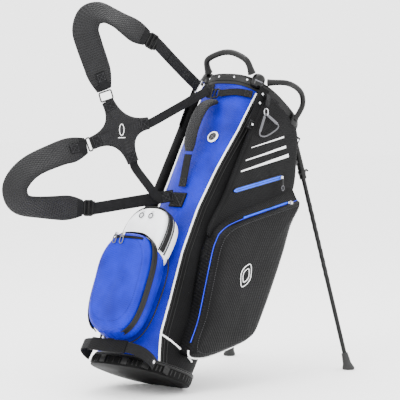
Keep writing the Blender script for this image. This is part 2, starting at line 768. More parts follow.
for side, name in ((-1, "near"), (1, "far")):
    emblem(side, (0.045, 0.318), 0.034, pockets[side][0], "emblem_" + name)
    emblem(side, (0.045, 0.318), 0.020, pockets[side][0], "emblem_inner_" + name)

# The collar, its corner shoulders, the handles and the divider

CORNER_ANGLE = math.radians(136.0)
GAP = 0.0004


def ring_loft(profile, high, count=120):
    """A ring round the tube: proud and drop pairs, measured from the rim or the base."""
    rows = []
    for k in range(count):
        angle = 2 * math.pi * k / count
        row = []
        for proud, drop in profile:
            u, v = outline(angle, TUBE_LENGTH if high else 0.0, proud)
            row.append(Vector((u, v, rim_plane(u, drop) if high else base_plane(u, drop))))
        rows.append(row)
    return skin(rows, wrap=True, looped=True)


def organic(name, bm, body, look, voxel=0.0013, rounds=8, **options):
    """A moulded shape grown from simple solids: joined, then softened."""
    made = piece(name, bm, body, look, **options)
    grown = made.modifiers.new("grown", "REMESH")
    grown.mode, grown.voxel_size, grown.use_smooth_shade = "VOXEL", voxel, True
    soft = made.modifiers.new("soft", "SMOOTH")
    soft.factor, soft.iterations = 0.5, rounds
    return made


collar = ring_loft((
    (0.0022, 0.0232), (0.0036, 0.0215), (0.0036, 0.0130), (0.0042, 0.0122), (0.0042, 0.0050),
    (0.0032, 0.0016), (0.0008, 0.0),
    (-0.0028, 0.0), (-0.0052, 0.0016), (-0.0062, 0.0045), (-0.0062, 0.0232),
), True)
piece("collar_ring", collar, "bag", PLASTIC, BAG, replaces="top_collar")
corner_u, corner_v = outline(CORNER_ANGLE, TUBE_LENGTH, 0.004)
for side, name in ((-1, "near"), (1, "far")):
    u, v = outline(side * CORNER_ANGLE, TUBE_LENGTH, 0.001)
    rows = []
    for reach, drop in (
        (0.006, 0.026), (0.013, 0.0255), (0.0165, 0.021), (0.0185, 0.012), (0.0190, 0.003),
        (0.0178, -0.006), (0.0150, -0.012), (0.0105, -0.0145), (0.004, -0.0155),
    ):
        rows.append([
            Vector((
                u - 0.001 + reach * math.cos(a), v + side * 0.001 + reach * 1.02 * math.sin(a),
                rim_plane(u, drop),
            ))
            for a in (2 * math.pi * k / 24 for k in range(24))
        ])
    hub = skin(rows, wrap=True, capped=True)
    organic("handle_shoulder_" + name, hub, "bag", GLOSS, voxel=0.0012, rounds=6, matrix=BAG)
    clasp = block((0.022, 0.010, 0.0036), Matrix.Translation((
        u - 0.010, v + side * 0.0125, rim_plane(u, 0.011),
    )) @ Matrix.Rotation(side * 0.75, 4, "Z"), 0.0012)
    piece("shoulder_clip_" + name, clasp, "bag", GREY, BAG)
    hook = [Vector((
        u + 0.020 + 0.009 * math.cos(a), v + side * (0.020 + 0.004 * math.sin(a)),
        rim_plane(u, 0.020) - 0.012 * math.sin(a),
    )) for a in (math.pi * i / 14 for i in range(15))]
    piece("hood_loop_" + name, sweep(hook, 0.0021, 10), "bag", PIPING_BLACK, BAG)

front_u = outline(math.pi, TUBE_LENGTH)[0]
rise = rim_plane(front_u)
HANDLE_RADIUS = 0.0088
ARCH = (
    (corner_u - 0.020, corner_v - 0.012, rise + 0.005), (front_u - 0.025, 0.070, rise + 0.025),
    (front_u - 0.034, 0.035, rise + 0.041),
    (front_u - 0.036, 0.0, rise + 0.047), (front_u - 0.034, -0.035, rise + 0.041),
    (front_u - 0.025, -0.070, rise + 0.025),
    (corner_u - 0.020, 0.012 - corner_v, rise + 0.0045),
)


def grip(name, points, radius):
    """A moulded handle: a smooth bar that swells where it grows from the collar, with faint ribs along its middle."""
    path = smooth_path(points, 14)
    last = len(path) - 1
    radii = []
    for i in range(last + 1):
        end = min(i, last - i) / last
        radii.append(radius * (1.0 + 0.42 * max(0.0, 1 - end / 0.13) ** 2 + 0.015 * math.sin(i * 1.25) * (end > 0.2)))
    return piece(name, sweep(
        path, radii, 20, up=(0, 0, 1), flat=0.94,
    ), "bag", PLASTIC, BAG, levels=1, replaces=name)


grip("front_handle", ARCH, HANDLE_RADIUS)
for side, name in ((-1, "near"), (1, "far")):
    arch = (
        (corner_u + 0.020, side * (corner_v + 0.016), rise + 0.002), (-0.066, side * 0.143, rise + 0.016),
        (-0.028, side * 0.150, rise + 0.029),
        (0.010, side * 0.150, rise + 0.030), (0.036, side * 0.146, rise + 0.012),
        (0.046, side * 0.136, rise - 0.014), (0.048, side * 0.1275, rise - 0.030),
    )
    grip("side_handle_" + name, arch, HANDLE_RADIUS * 0.9)
    socket = block((0.026, 0.012, 0.030), Matrix.Translation((
        0.048, side * 0.1265, rise - 0.036,
    )), 0.004, 3)
    piece("handle_socket_" + name, socket, "bag", PLASTIC, BAG)
piece(
    "club_divider", copy_of("club_divider"), "bag", PLASTIC, bevel=0.0012, sharp=30,
    replaces="club_divider",
)

# The base: a moulded cup with a lip, ribs and clips, and the heel under it

piece("base_cup", copy_of("base_cup"), "bag", CUP, bevel=0.0008, sharp=34, replaces="base_cup")
lip = ring_loft((
    (0.0052, 0.0245), (0.0066, 0.0252), (0.0066, 0.0290), (0.0052, 0.0300), (0.0022, 0.0300),
    (0.0022, 0.0245),
), False)
piece("cup_lip", lip, "bag", GLOSS, BAG)
welt = ring_loft((
    (0.0008, 0.0300), (0.0042, 0.0303), (0.0054, 0.0325), (0.0042, 0.0347), (0.0008, 0.0350),
), False)
piece("cup_welt", welt, "bag", PIPING_BLACK, BAG)


def on_cup(angle, proud, lift):
    """A place on the cup's wall, turned to lie along it."""
    u, v = outline(angle, 0.0, CUP_PROUD + proud)
    un, vn = outline(angle + 0.02, 0.0, CUP_PROUD + proud)
    turn = Matrix.Rotation(math.atan2(vn - v, un - u), 4, "Z")
    return Matrix.Translation((u, v, base_plane(u, lift))) @ turn


ribs = []
for k in range(64):
    angle = 2 * math.pi * k / 64
    if abs(math.sin(angle)) < 0.35 and math.cos(angle) > 0:
        continue
    ribs.append(block((0.0034, 0.0014, 0.0150), on_cup(angle, 0.0002, 0.0140), 0.0005, 1))
piece("cup_ribs", merge(*ribs), "bag", GLOSS, BAG)
clips = []
for angle in (110, 140, 168, 192, 220, 250):
    a = math.radians(angle)
    clips.append(block((0.018, 0.0032, 0.020), on_cup(a, 0.0012, 0.0150), 0.0010))
    clips.append(block((0.010, 0.0044, 0.004), on_cup(a, 0.0012, 0.0190), 0.0008))
piece("cup_clips", merge(*clips), "bag", PLASTIC, BAG)
piece("heel_plate", copy_of("stand_heel"), "heel", RUBBER, bevel=0.0006, replaces="stand_heel")
piece("heel_pin", copy_of("heel_pin"), "bag", STEEL, replaces="heel_pin")
treads = [block(
    (0.0022, 0.072, 0.0012), Matrix.Translation((0.004 + 0.006 * k, 0, 0.0062)), 0.0003, 1,
) for k in range(5)]
piece("heel_treads", merge(*treads), "heel", RUBBER)

# Legs

SLEEVE_LENGTH, FITTING_LENGTH, FOOT_LENGTH, LEG_RADIUS = 0.084, 0.026, 0.048, 0.0062
PIVOT_U, PIVOT_V, PIVOT_W = 0.153, 0.067, 0.803
for side, name in ((-1, "near"), (1, "far")):
    body = "leg_" + name
    pivot = BAG @ Vector((PIVOT_U, side * PIVOT_V, PIVOT_W))
    foot = Vector((0.541, side * 0.213, 0.0))
    way = (foot - pivot).normalized()
    length = (foot - pivot).length
    hinge = Vector((0.31876, 0.93024, -0.18179)) if side < 0 else Vector((-0.31876, 0.93024, 0.18179))
    sleeve = [(0.000, 0.0060), (0.002, 0.0082)]
    d = 0.004
    while d < SLEEVE_LENGTH - 0.002:
        sleeve += [
            (d, 0.0086 + 0.0008 * d / SLEEVE_LENGTH), (d + 0.0010, 0.0092 + 0.0009 * d / SLEEVE_LENGTH),
            (d + 0.0024, 0.0092 + 0.0009 * d / SLEEVE_LENGTH),
            (d + 0.0034, 0.0086 + 0.0008 * d / SLEEVE_LENGTH),
        ]
        d += 0.0058
    sleeve.append((SLEEVE_LENGTH, 0.0094))
    piece("leg_sleeve_" + name, turned(
        sleeve, pivot + way * 0.004, way, 28,
    ), body, PLASTIC, replaces="leg_sleeve_" + name)
    knuckle = turned((
        (-0.0080, 0.0078), (-0.0072, 0.0095), (0.0072, 0.0095), (0.0080, 0.0078),
    ), pivot, hinge, 32)
    piece("leg_knuckle_" + name, knuckle, body, PLASTIC)
    start = SLEEVE_LENGTH + GAP
    fitting = turned((
        (0.0, 0.0096), (0.001, 0.0118), (0.008, 0.0118), (0.009, 0.0108), (0.017, 0.0098), (0.019, 0.0102),
        (0.024, 0.0096), (FITTING_LENGTH, 0.0078),
    ), pivot + way * start, way, 32)
    spur_way = (way.cross(hinge)).normalized()
    spur_way = spur_way if spur_way.x > 0 else -spur_way
    spur = sweep([
        pivot + way * (start + 0.004) + spur_way * 0.008, pivot + way * (start + 0.002) + spur_way * 0.017,
        pivot + way * (start + 0.006) + spur_way * 0.022,
    ], [0.004, 0.0034, 0.0024], 10)
    piece("leg_fitting_" + name, merge(fitting, spur), body, GLOSS)
    low = start + FITTING_LENGTH
    top = length - FOOT_LENGTH
    piece("leg_tube_" + name, turned((
        (low, LEG_RADIUS), (top, LEG_RADIUS),
    ), pivot, way, 32), body, LEG, replaces="leg_tube_" + name)
    across = way.orthogonal().normalized()
    up = way.cross(across)
    coil, turns, steps = [], 9, 20
    for i in range(turns * steps + 1):
        a = 2 * math.pi * i / steps
        d = low + 0.055 + 0.24 * i / (turns * steps)
        out = across * math.cos(a) + up * math.sin(a)
        coil.append((pivot + way * d + out * (LEG_RADIUS + 0.0002), out))
    normals = [out for _, out in coil]
    piece("leg_band_" + name, band([p for p, _ in coil], normals, 0.0075, 0.0006), body, WRAP)
    rows = []
    heights = [
        (0.0, 0.0076), (0.001, 0.0090), (0.005, 0.0096), (0.006, 0.0090), (0.012, 0.0104),
        (0.0135, 0.0098), (0.019, 0.0112), (0.0205, 0.0106), (0.026, 0.0115), (0.030, 0.0118),
    ]
    for drop, radius in heights:
        centre = pivot + way * (top + drop)
        rows.append([centre + (across * math.cos(a) + up * math.sin(a)) * radius for a in (
            2 * math.pi * k / 32
            for k in range(32)
        )])
    for height, radius in ((0.0075, 0.0166), (0.0062, 0.0172), (0.0020, 0.0172), (0.0, 0.0154)):
        ring = []
        for p in rows[9]:
            flat = (p - (pivot + way * (top + 0.030))) * Vector((1, 1, 0))
            ring.append(foot + flat.normalized() * radius + Vector((0, 0, height)))
        rows.append(ring)
    piece(
        "leg_foot_" + name, skin(rows, wrap=True, capped=True), body, RUBBER, sharp=50,
        replaces="leg_foot_" + name,
    )
    bracket = copy_of("leg_bracket_" + name)
    piece(
        "leg_bracket_" + name, bracket, "bag", PLASTIC, bevel=0.0018, sharp=32,
        replaces="leg_bracket_" + name,
    )
    pin = turned((
        (-0.0186, 0.0016), (-0.0182, 0.0034), (-0.0168, 0.0040), (-0.0166, 0.0022), (0.0166, 0.0022),
        (0.0168, 0.0040), (0.0182, 0.0034), (0.0186, 0.0016),
    ), pivot, hinge, 24)
    piece("pivot_pin_" + name, pin, "bag", STEEL, replaces="pivot_pin_" + name)

# The push rod up the back

low, high = Vector((0.1385, 0.0, 0.030)), Vector((0.144, 0.0, 0.756))
piece("actuator_rod", sweep(
    [low.lerp(high, i / 20) for i in range(21)], 0.0025, 16,
), "push_rod", STEEL, BAG, replaces="actuator_rod")
piece(
    "actuator_yoke", copy_of("actuator_yoke"), "push_rod", PLASTIC, bevel=0.0015, replaces="actuator_yoke",
)
for name in ("lower", "upper"):
    piece(
        "rod_guide_" + name, copy_of("rod_guide_" + name), "bag", PLASTIC, bevel=0.0010,
        replaces="rod_guide_" + name,
    )

# The front pockets


def pocket_shape(middle, half_height, half_width, square, front, lean, layers, swell, count=72):
    rows = []
    for depth, shrink in layers:
        row = []
        for i in range(count):
            angle = 2 * math.pi * i / count
            c, s = math.cos(angle), math.sin(angle)
            v = bent(c, 2 / square) * half_width * shrink
            up = bent(s, 2 / square) * half_height * shrink
            u = -0.085 + (front + 0.085 - lean * up) * depth
            if depth > 0.5:
                u -= swell * noise.noise(Vector((v * 16, up * 12, depth * 2))) + swell * 0.3 * noise.noise(Vector((v * 45, up * 38, 4)))
            row.append(Vector((u, v, middle + up)))
        rows.append(row)
    return rows


POCKET_LAYERS = (
    (0.30, 1.0), (0.62, 1.0), (0.76, 1.0), (0.84, 0.995), (0.905, 0.975), (0.95, 0.945), (0.98, 0.90),
    (0.995, 0.84), (1.004, 0.74),
    (1.010, 0.60), (1.014, 0.44), (1.016, 0.26), (1.017, 0.10),
)
BALL = (0.142, 0.135, 0.086, 2.9, -0.225, 0.20)
VALUABLES = (0.285, 0.090, 0.070, 2.6, -0.208, 0.0)
ball = piece("ball_pocket", skin(
    pocket_shape(*BALL, POCKET_LAYERS, 0.0032), wrap=True, capped=True,
), "bag", BLUE, BAG, levels=1, replaces="ball_pocket")
valuables = piece("valuables_pocket", skin(pocket_shape(
    *VALUABLES, POCKET_LAYERS, 0.0024,
), wrap=True, capped=True), "bag", WHITE, BAG, levels=1, replaces="valuables_pocket")


def pocket_line(shape, depth, shrink, start, end, proud=0.0, count=150):
    """A line round a front pocket between two angles, in degrees from +v over the top."""
    middle, half_height, half_width, square, front, lean = shape
    points = []
    for i in range(count + 1):
        angle = math.radians(start + (end - start) * i / count)
        c, s = math.cos(angle), math.sin(angle)
        v = bent(c, 2 / square) * (half_width * shrink + proud)
        up = bent(s, 2 / square) * (half_height * shrink + proud)
        points.append(Vector((-0.085 + (front + 0.085 - lean * up) * depth, v, middle + up)))
    return points


def zip_teeth(points, name, look=PIPING_BLACK, width=0.0052, tape=0.0185):
    """A zip: a tape with two rows of small teeth over it."""
    outs = []
    centre = sum(points, Vector((0, 0, 0))) / len(points)
    for p in points:
        outs.append(((p - centre) * Vector((0.35, 1, 1))).normalized())
    piece(name + "_tape", band(points, outs, tape, 0.0012), "bag", look, BAG)
    teeth, run = [], 0.0
    for a, b, out in zip(points, points[1:], outs):
        run += (b - a).length
        if run < 0.0023:
            continue
        run = 0.0
        way = (b - a).normalized()
        side = way.cross(out)
        turn = Matrix((way, side, out)).transposed().to_4x4()
        teeth.append(block((0.0013, width * 0.55, 0.0012), Matrix.Translation(a + out * 0.0009) @ turn))
    piece(name + "_teeth", merge(*teeth), "bag", look, BAG)


# the ball pocket opens round its top; the valuables pocket's zip arches over it
zip_teeth(pocket_line(BALL, 0.80, 1.0, -62, 242, 0.0034, 260), "ball_zip")
for depth, name in ((0.735, "inner"), (0.865, "outer")):
    piece("ball_piping_" + name, sweep(pocket_line(
        BALL, depth, 0.998, -66, 246, 0.0034,
    ), 0.0017, 8), "bag", PIPING_BLACK, BAG)
piece("ball_hem", sweep(pocket_line(
    BALL, 0.36, 1.0, -80, 260, 0.0006,
), 0.0022, 8), "bag", PIPING_BLACK, BAG)
zip_teeth(pocket_line(
    VALUABLES, 0.80, 1.0, -14, 194, 0.0030, 180,
), "valuables_zip", width=0.0040, tape=0.0170)
piece("valuables_piping", sweep(pocket_line(
    VALUABLES, 0.90, 0.995, -16, 196, 0.0030,
), 0.0016, 8), "bag", PIPING_BLACK, BAG)
piece("valuables_hem", sweep(pocket_line(
    VALUABLES, 0.68, 1.0, -16, 196, 0.0028,
), 0.0017, 8), "bag", PIPING_BLACK, BAG)
ball_tree = tree(ball)
places, normals = on_surface(ball_tree, [BAG @ p for p in pocket_line(
    BALL, 1.6, 0.82, -88, 268, 0.0, 110,
)], BAG.to_3x3() @ Vector((1, 0, 0)), 0.0003)
if len(places) > 3:
    piece("ball_stitching", stitches(places, normals, 0.0060, 0.0036, 0.0004), "bag", PIPING_BLACK)
tab = [Vector((-0.222 - 0.0002 * abs(k - 8), (k - 8) * 0.0062, 0.2560)) for k in range(17)]
places, normals = on_surface(ball_tree, [
    BAG @ (p - Vector((0.1, 0, 0)))
    for p in tab
], BAG.to_3x3() @ Vector((1, 0, 0)), 0.0004, 0.1)
if len(places) > 6:
    piece("ball_zip_flap", band(places, smoothed(normals), 0.0085, 0.0016), "bag", BLACK)

# Zip pulls

for name, v in (("ball_zip_pull_a", 0.040), ("ball_zip_pull_b", 0.016)):
    up = 0.258 - BALL[0]
    hinge = BAG @ Matrix.Translation((
        BALL[4] - BALL[5] * up - 0.0036, v, 0.258,
    )) @ Matrix.Rotation(-math.atan(BALL[5]), 4, "Y")
    loop = [Vector((0.0, x, z - 0.011)) for x, z in (
        (-0.0036, 0.0095), (-0.0048, 0.004), (-0.0050, -0.006), (-0.0034, -0.0102), (0.0, -0.011),
        (0.0034, -0.0102), (0.0050, -0.006), (0.0048, 0.004), (0.0036, 0.0095), (0.0, 0.0108),
    )]
    pull = sweep(smooth_path(loop, 5, cyclic=True), 0.0015, 10, closed=True)
    cap = block((0.0030, 0.0076, 0.0064), Matrix.Translation((0.0006, 0, -0.0012)), 0.0010)
    piece(name, merge(pull, cap), name.replace("zip_", ""), GREY, hinge, replaces=name)
    slider = block((0.0040, 0.0086, 0.0110), Matrix.Translation((0.0032, 0, 0.0030)), 0.0013)
    piece(name.replace("pull", "slider"), slider, "bag", STEEL, hinge)
for name, v in (("valuables_pull_a", 0.020), ("valuables_pull_b", -0.012)):
    hinge = BAG @ Matrix.Translation((VALUABLES[4] - 0.0032, v, 0.350))
    loop = [Vector((
        0.0, 0.0065 * math.sin(2 * math.pi * i / 28), -0.0075 + 0.0072 * math.cos(2 * math.pi * i / 28),
    )) for i in range(28)]
    piece(
        name, sweep(loop, 0.0013, 10, closed=True), name.replace("pull", "loop"), DARK_STEEL, hinge,
        replaces=name,
    )
    slider = block((0.0034, 0.0070, 0.0095), Matrix.Translation((0.0026, 0, 0.0030)), 0.0011)
    piece(name.replace("pull", "slider"), slider, "bag", STEEL, hinge)

# The near side's zips: the flash zip on the panel and the long zip at the pocket's mouth

for name, start, end, v, width, look in (
    ("flash_zip", (-0.078, 0.505), (0.084, 0.647), 0.1272, 0.0125, ZIP_BLUE),
    ("side_zip", (-0.016, 0.458), (0.138, 0.599), 0.1490, 0.0075, ZIP_BLUE),
):
    a, b = Vector((start[0], -v, start[1])), Vector((end[0], -v, end[1]))
    way = (b - a).normalized()
    side = Vector((way.z, 0, -way.x))
    path = [a - way * 0.002 + (b - a + way * 0.004) * i / 24 for i in range(25)]
    if name == "flash_zip":
        for k, (lift, w, shade, thick) in enumerate(((
            -0.0066, 0.0150, PIPING_BLACK, 0.0014,
        ), (-0.0080, 0.0095, look, 0.0012))):
            rows = [p + Vector((0, lift, 0)) for p in path]
            widths = [w * min(1.0, 0.35 + 1.1 * math.sqrt(min(i, 24 - i) / 3)) for i in range(25)]
            piece(f"flash_garage_{k}", band(rows, Vector((0, -1, 0)), w, thick, widths), "bag", shade, BAG)
        piece("flash_zip_line", sweep(
            [p + Vector((0, -0.0087, 0)) for p in path[1:-1]], 0.0006, 6,
        ), "bag", PIPING_BLACK, BAG)
    track = band([p + Vector((0, -0.0003, 0)) for p in path], Vector((0, -1, 0)), 0.0080, 0.0024)
    piece(name + "_track", track, "bag", look, BAG, replaces=name + "_track")
for name, body, proud in ((
    "flash_zip_slider", "flash_slider", 0.0105,
), ("side_zip_slider", "side_slider", 0.0085)):
    piece(name, copy_of(name), body, STEEL, bevel=0.0008, replaces=name)
    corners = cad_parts[name].data.vertices
    centre = sum((v.co for v in corners), Vector((0, 0, 0))) / len(corners)
    face = centre - Vector((0, proud, 0))
    plate = block((0.0100, proud - 0.001, 0.0086), Matrix.Translation((centre + face) / 2), 0.0012)
    tab = block((0.0058, 0.0012, 0.0200), Matrix.Translation(face - Vector((0, 0.0010, 0.0130))), 0.0005)
    loop = [face + Vector((
        0.0052 * math.sin(2 * math.pi * i / 24), -0.0010,
        -0.0290 + 0.0070 * math.cos(2 * math.pi * i / 24),
    )) for i in range(24)]
    piece(name + "_plate", plate, body, STEEL)
    piece(name + "_tab", tab, body, PLASTIC)
    piece(name + "_pull", sweep(loop, 0.0013, 8, closed=True), body, GREY)

# The carry grip, the base's grab handle, the cable port and the towel clip

GRIP_PATH = (
    (-0.1385, 0.0, 0.745), (-0.154, 0.0, 0.733), (-0.173, 0.0, 0.708), (-0.180, 0.0, 0.664),
    (-0.174, 0.0, 0.614), (-0.158, 0.0, 0.574),
)
path = smooth_path(GRIP_PATH, 9)
rows, edge_lines = [], {-1: [], 1: []}
last = len(path) - 1
for i, point in enumerate(path):
    way = heading(path, i).normalized()
    face = way.cross(Vector((0, 1, 0))).normalized()
    face = face if face.x < 0 else -face
    end = min(i, last - i) / last
    swell = 0.62 + 0.38 * min(1.0, end / 0.12)
    row = []
    for k in range(28):
        a = 2 * math.pi * k / 28
        c, s = math.cos(a), math.sin(a)
        across = bent(c, 0.7) * 0.0190 * swell
        out = bent(s, 0.8) * 0.0085 * swell
        row.append(point + Vector((0, 1, 0)) * across + face * out)
    rows.append(row)
    for side in (-1, 1):
        edge_lines[side].append(point + Vector((0, 1, 0)) * side * 0.0188 * swell)
grip_pad = piece(
    "carry_grip", skin(rows, wrap=True, capped=True), "bag", HEX, BAG, levels=1, replaces="carry_grip",
)
for side, name in ((-1, "near"), (1, "far")):
    piece("carry_grip_seam_" + name, sweep(edge_lines[side], 0.0013, 6), "bag", PIPING_BLACK, BAG)


def strap_piece(
    name, points, normals, width, look=WEB, body="bag", matrix=BAG, thick=0.0024, replaces=(), ends=(),
):
    """A woven strap with a crossed box of stitches at each sewn end."""
    made = piece(name, band(points, normals, width, thick), body, look, matrix, replaces=replaces)
    normals = normals if isinstance(normals, list) else [Vector(normals)] * len(points)
    last = len(points) - 1
    sides, faces = [], []
    for i in range(len(points)):
        way = heading(points, i).normalized()
        face = (normals[i] - way * normals[i].dot(way)).normalized()
        sides.append(way.cross(face))
        faces.append(face)
    threads = []
    for end in ends:
        order = range(last + 1) if end == 0 else range(last, -1, -1)
        run, spots, previous = 0.0, [], None
        for i in order:
            if previous is not None:
                run += (points[i] - points[previous]).length
            spots.append((run, i))
            previous = i
        def at(distance, across):
            for (r0, i0), (r1, i1) in zip(spots, spots[1:]):
                if r1 >= distance:
                    f = (distance - r0) / max(r1 - r0, 1e-6)
                    return points[i0].lerp(points[i1], f) + sides[i0] * across * width / 2 + faces[i0] * (thick / 2 + 0.0002), faces[i0]
            i1 = spots[-1][1]
            return points[i1] + sides[i1] * across * width / 2 + faces[i1] * (thick / 2 + 0.0002), faces[i1]
        box = min(width * 0.72, 0.022)
        corners = [(0.004, -0.7), (0.004, 0.7), (0.004 + box, 0.7), (0.004 + box, -0.7), (0.004, -0.7)]
        cross = [((0.004, -0.7), (0.004 + box, 0.7)), ((0.004, 0.7), (0.004 + box, -0.7))]
        for (d0, a0), (d1, a1) in list(zip(corners, corners[1:])) + cross:
            line = [at(d0 + (d1 - d0) * k / 10, a0 + (a1 - a0) * k / 10) for k in range(11)]
            threads.append(stitches([p for p, _ in line], [f for _, f in line], 0.0034, 0.0024, 0.0004))
    if threads:
        piece(name + "_stitches", merge(*threads), body, THREAD, matrix)
    return made


path = smooth_path([
    (-0.1555, 0.0, 0.5665), (-0.150, 0.0, 0.545), (-0.139, 0.0, 0.510), (-0.1305, 0.0, 0.480),
], 6)
outs = [Vector((-1, 0, -0.3)).normalized()] * len(path)
strap_piece("carry_webbing", path, outs, 0.026, replaces="carry_webbing", ends=(1,))
LOOP = (
    (-0.086, 0.1125, -0.020), (-0.112, 0.114, -0.018), (-0.140, 0.102, -0.016), (-0.1545, 0.070, -0.016),
    (-0.158, 0.030, -0.018),
    (-0.158, -0.030, -0.018), (-0.1545, -0.070, -0.016), (-0.140, -0.102, -0.018),
    (-0.112, -0.114, -0.022), (-0.086, -0.1125, -0.026),
)
path = smooth_path(LOOP, 8)
outs = []
for i, p in enumerate(path):
    way = heading(path, i)
    out = way.cross(Vector((0, 0, 1))).normalized()
    outs.append(out if out.x * -1 + out.y * p.y * 4 > 0 else -out)
strap_piece("base_grab_handle", path, outs, 0.030, replaces="base_grab_handle")
cover = [p + n * 0.0010 for p, n in zip(path[26:47], outs[26:47])]
strap_piece("grab_handle_sleeve", cover, outs[26:47], 0.036, look=BLACK, thick=0.0052)
path = smooth_path([
    (-0.1562, 0.0, 0.0035), (-0.1585, 0.0, -0.006), (-0.1600, 0.0, -0.018), (-0.1595, 0.0, -0.031),
], 5)
strap_piece("grab_drop_strap", path, Vector((-1, 0, 0)), 0.024)
for side in (-1, 1):
    piece("grab_rivet_" + ("near" if side < 0 else "far"), rivet(
        BAG @ Vector((-0.096, side * 0.1148, -0.022)), (0, side, 0), 0.0050,
    ), "bag", STEEL)

port_u = outline(math.pi, 0.640)[0] - 0.0006
centre = Vector((port_u, -0.033, 0.640))
port = turned((
    (0.0, 0.0165), (0.0012, 0.0168), (0.0030, 0.0160), (0.0040, 0.0140), (0.0036, 0.0126),
    (0.0024, 0.0122), (0.0022, 0.0060), (0.0021, 0.0005),
), centre, (-1, 0, 0), 40)
piece("cable_port", port, "bag", PIPING_WHITE, BAG, sharp=30, replaces="cable_port")
leaf = turned((
    (0.0023, 0.0121), (0.0030, 0.0118), (0.0034, 0.0080), (0.0036, 0.0005),
), centre, (-1, 0, 0), 32)
piece("cable_port_leaf", leaf, "bag", RUBBER, BAG)
slits = [block(
    (0.0006, 0.0012, 0.021),
    Matrix.Translation(centre + Vector((-0.0036, 0, 0))) @ Matrix.Rotation(a, 4, "X"),
) for a in (0.5, 0.5 + math.pi / 2)]
piece("cable_port_slits", merge(*slits), "bag", GREY, BAG)

tab = smooth_path([(-0.097, -0.1345, 0.798), (-0.095, -0.1390, 0.782), (-0.092, -0.1405, 0.766)], 6)
strap_piece("towel_tab", tab, Vector((0, -1, 0)), 0.018, replaces="towel_tab", ends=(0,))
ring_centre = BAG @ Vector((-0.087, -0.1415, 0.749))
d_loop = []
for i in range(36):
    a = 2 * math.pi * i / 36
    c, s = math.cos(a), math.sin(a)
    d_loop.append(ring_centre + Vector((0, bent(c, 0.77) * 0.0065, bent(s, 0.77) * 0.009)))
piece("towel_d_ring", sweep(d_loop, 0.0014, 12, closed=True), "bag", STEEL, replaces="towel_d_ring")
apex = ring_centre + Vector((0, 0, -0.0054))
WEDGE = (
    (0.0, 0.0), (0.006, -0.003), (0.030, -0.016), (0.052, -0.030), (0.052, -0.040), (0.026, -0.052),
    (-0.002, -0.060), (-0.024, -0.058),
    (-0.028, -0.048), (-0.017, -0.024), (-0.006, -0.004),
)
wedge = smooth_path([apex + Vector((x, 0, z)) for x, z in WEDGE], 8, cyclic=True)
piece("towel_ring", sweep(
    wedge, 0.0019, 12, closed=True, up=(0, 1, 0),
), "towel_loop", GREY, replaces="towel_ring")
for k, (first, last_point) in enumerate(((
    (0.004, -0.0025), (0.049, -0.028),
), ((-0.0065, -0.0065), (-0.0262, -0.046)))):
    a, b = apex + Vector((first[0], 0, first[1])), apex + Vector((last_point[0], 0, last_point[1]))
    bar_path = [a.lerp(b, i / 10) for i in range(11)]
    piece(f"towel_ring_bar_{k}", band(bar_path, Vector((0, -1, 0)), 0.0072, 0.0030), "towel_loop", GREY)

# Rain-hood cord and its lock

CORD = (
    (0.1110, -0.0985, 0.7985), (0.1150, -0.1010, 0.7880), (0.1240, -0.1025, 0.7720),
    (0.1360, -0.1020, 0.7540), (0.1480, -0.1010, 0.7370),
)
route = [BAG @ p for p in smooth_path(CORD, 8)]
curve = bpy.data.curves.new("bungee_cord", "CURVE")
curve.dimensions = "3D"
curve.bevel_depth, curve.bevel_resolution, curve.use_fill_caps = 0.0014, 3, True
spline = curve.splines.new("POLY")
spline.points.add(len(route) - 1)
for point, place in zip(spline.points, route):
    point.co = (*place, 1.0)
curve.materials.append(PIPING_BLACK)
cord = bpy.data.objects.new("bungee_cord", curve)
SCENE.collection.objects.link(cord)
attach(cord, "bag")
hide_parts("bungee_cord")
way = (route[-1] - route[-2]).normalized()
lock = turned((
    (GAP, 0.0030), (0.0008, 0.0050), (0.0022, 0.0058), (0.0085, 0.0058), (0.0095, 0.0050),
    (0.0098, 0.0040), (0.0140, 0.0038), (0.0150, 0.0026),
), route[-1], way, 28)
lock_piece = piece("cord_lock", lock, "bag", GLOSS, replaces="cord_lock")
cord_length = sum((b - a).length for a, b in zip(route, route[1:]))
tuple(route[0])

# The shoulder harness: two padded loops, the back yoke and the webbing that joins them

PAD_WIDTH, PAD_THICK, WEB_THICK = 0.068, 0.011, 0.0024


def on_harness(point):
    """A point of the bag's frame, in the harness's."""
    return HARNESS.inverted() @ (BAG @ Vector(point))


UPPER_PAD = (
    ((0.277, 0.139), 90), ((0.300, 0.205), 84), ((0.321, 0.262), 74), ((0.331, 0.300), 62),
    ((0.318, 0.335), 55),
    ((0.285, 0.345), 52), ((0.250, 0.332), 50), ((0.214, 0.311), 60), ((0.152, 0.276), 90),
)
LOWER_PAD = (
    ((0.329, -0.006), 90), ((0.370, -0.016), 70), ((0.409, -0.026), 56), ((0.481, -0.054), 48),
    ((0.521, -0.088), 48),
    ((0.533, -0.122), 48), ((0.512, -0.156), 50), ((0.444, -0.166), 60), ((0.340, -0.171), 90),
)


